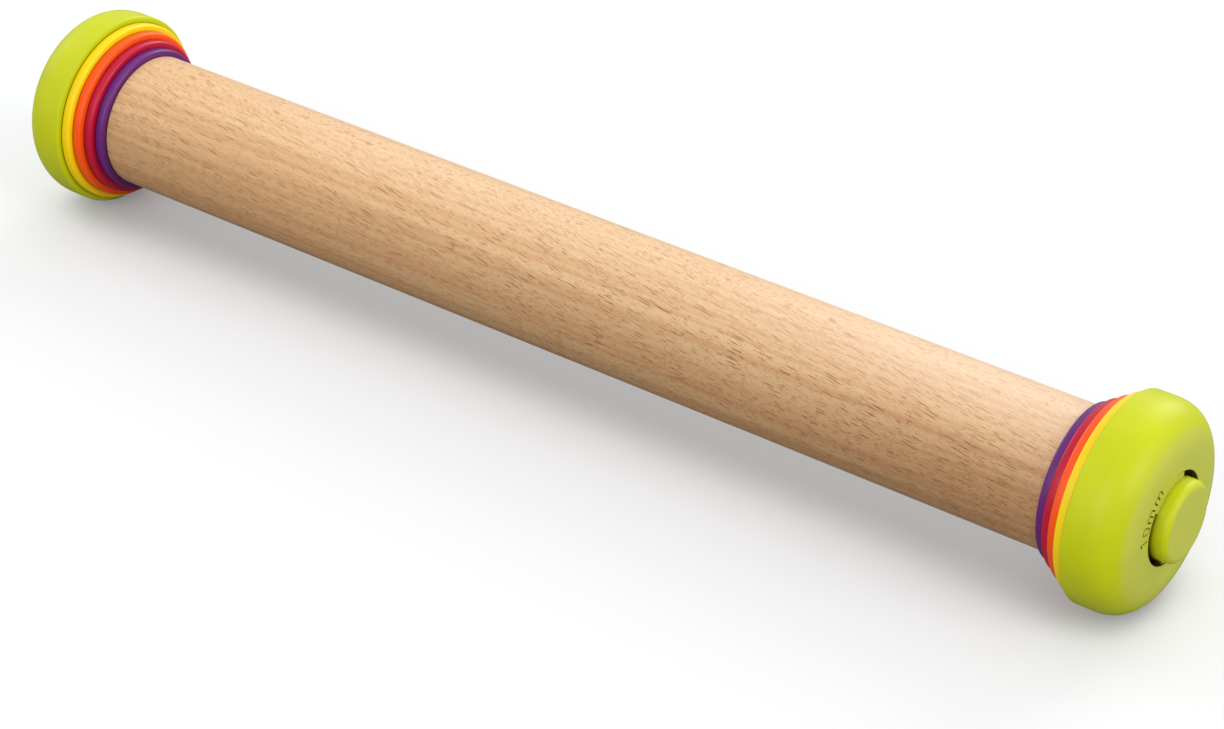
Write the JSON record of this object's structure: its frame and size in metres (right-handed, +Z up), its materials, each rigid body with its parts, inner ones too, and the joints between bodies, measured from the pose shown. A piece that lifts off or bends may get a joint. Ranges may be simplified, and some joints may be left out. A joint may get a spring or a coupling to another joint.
{
  "type": "adjustable rolling pin",
  "caption": "Adjustable rolling pin: a wooden roller with stepped, stacked discs on both ends that set the dough's thickness, each stack held by a screw knob.",
  "frame": {"origin": "on the surface that the pin lies on, under the middle of the pin's axis", "axes": "+X along the pin towards the right-hand end, +Z up, +Y away from the user"},
  "size_m": [0.4186, 0.0636, 0.0636],
  "materials": {
    "beech": "sanded and lightly oiled",
    "violet_plastic": "moulded, satin",
    "crimson_plastic": "moulded, satin",
    "orange_plastic": "moulded, satin",
    "yellow_plastic": "moulded, satin",
    "lime_plastic": "moulded, satin",
    "hub_plastic": "moulded, matt",
    "brass": "turned",
    "steel": "zinc plated",
    "rubber": "matt"
  },
  "bodies": {
    "roller": {"roller": "beech", "threaded_insert_right": "brass", "hub_right": "hub_plastic", "hub_screw_1_right": "steel", "hub_screw_2_right": "steel", "hub_screw_3_right": "steel", "threaded_insert_left": "brass", "hub_left": "hub_plastic", "hub_screw_1_left": "steel", "hub_screw_2_left": "steel", "hub_screw_3_left": "steel"},
    "disc_2mm_right": {"disc_2mm_right": "violet_plastic"},
    "disc_4mm_right": {"disc_4mm_right": "crimson_plastic"},
    "disc_6mm_right": {"disc_6mm_right": "orange_plastic"},
    "disc_8mm_right": {"disc_8mm_right": "yellow_plastic"},
    "disc_10mm_right": {"disc_10mm_right": "lime_plastic"},
    "washer_right": {"washer_right": "rubber"},
    "knob_right": {"knob_right": "lime_plastic", "stud_right": "steel"},
    "disc_2mm_left": {"disc_2mm_left": "violet_plastic"},
    "disc_4mm_left": {"disc_4mm_left": "crimson_plastic"},
    "disc_6mm_left": {"disc_6mm_left": "orange_plastic"},
    "disc_8mm_left": {"disc_8mm_left": "yellow_plastic"},
    "disc_10mm_left": {"disc_10mm_left": "lime_plastic"},
    "washer_left": {"washer_left": "rubber"},
    "knob_left": {"knob_left": "lime_plastic", "stud_left": "steel"}
  },
  "joints": [
    {"name": "disc_2mm_right_slide", "type": "slide", "parent": "roller", "child": "disc_2mm_right", "axis": [1, 0, 0], "range_m": [0, 0.0199]},
    {"name": "disc_4mm_right_slide", "type": "slide", "parent": "disc_2mm_right", "child": "disc_4mm_right", "axis": [1, 0, 0], "range_m": [0, 0.0169]},
    {"name": "disc_6mm_right_slide", "type": "slide", "parent": "disc_4mm_right", "child": "disc_6mm_right", "axis": [1, 0, 0], "range_m": [0, 0.0139]},
    {"name": "disc_8mm_right_slide", "type": "slide", "parent": "disc_6mm_right", "child": "disc_8mm_right", "axis": [1, 0, 0], "range_m": [0, 0.0108]},
    {"name": "disc_10mm_right_slide", "type": "slide", "parent": "disc_8mm_right", "child": "disc_10mm_right", "axis": [1, 0, 0], "range_m": [0, 0.0078]},
    {"name": "knob_right_travel", "type": "slide", "parent": "disc_10mm_right", "child": "washer_right", "axis": [1, 0, 0], "range_m": [0, 0.0181]},
    {"name": "knob_right_turn", "type": "hinge", "parent": "washer_right", "child": "knob_right", "pos_m": [0.195, 0, 0.0318], "axis": [1, 0, 0], "range_deg": [0, 4320]},
    {"name": "disc_2mm_left_slide", "type": "slide", "parent": "roller", "child": "disc_2mm_left", "axis": [-1, 0, 0], "range_m": [0, 0.0199]},
    {"name": "disc_4mm_left_slide", "type": "slide", "parent": "disc_2mm_left", "child": "disc_4mm_left", "axis": [-1, 0, 0], "range_m": [0, 0.0169]},
    {"name": "disc_6mm_left_slide", "type": "slide", "parent": "disc_4mm_left", "child": "disc_6mm_left", "axis": [-1, 0, 0], "range_m": [0, 0.0139]},
    {"name": "disc_8mm_left_slide", "type": "slide", "parent": "disc_6mm_left", "child": "disc_8mm_left", "axis": [-1, 0, 0], "range_m": [0, 0.0108]},
    {"name": "disc_10mm_left_slide", "type": "slide", "parent": "disc_8mm_left", "child": "disc_10mm_left", "axis": [-1, 0, 0], "range_m": [0, 0.0078]},
    {"name": "knob_left_travel", "type": "slide", "parent": "disc_10mm_left", "child": "washer_left", "axis": [-1, 0, 0], "range_m": [0, 0.0181]},
    {"name": "knob_left_turn", "type": "hinge", "parent": "washer_left", "child": "knob_left", "pos_m": [-0.195, 0, 0.0318], "axis": [-1, 0, 0], "range_deg": [0, 4320]}
  ],
  "couplings": [
    {"joint": "knob_right_travel", "follows": "knob_right_turn", "m_per_rad": 0.00023873},
    {"joint": "knob_left_travel", "follows": "knob_left_turn", "m_per_rad": 0.00023873}
  ]
}
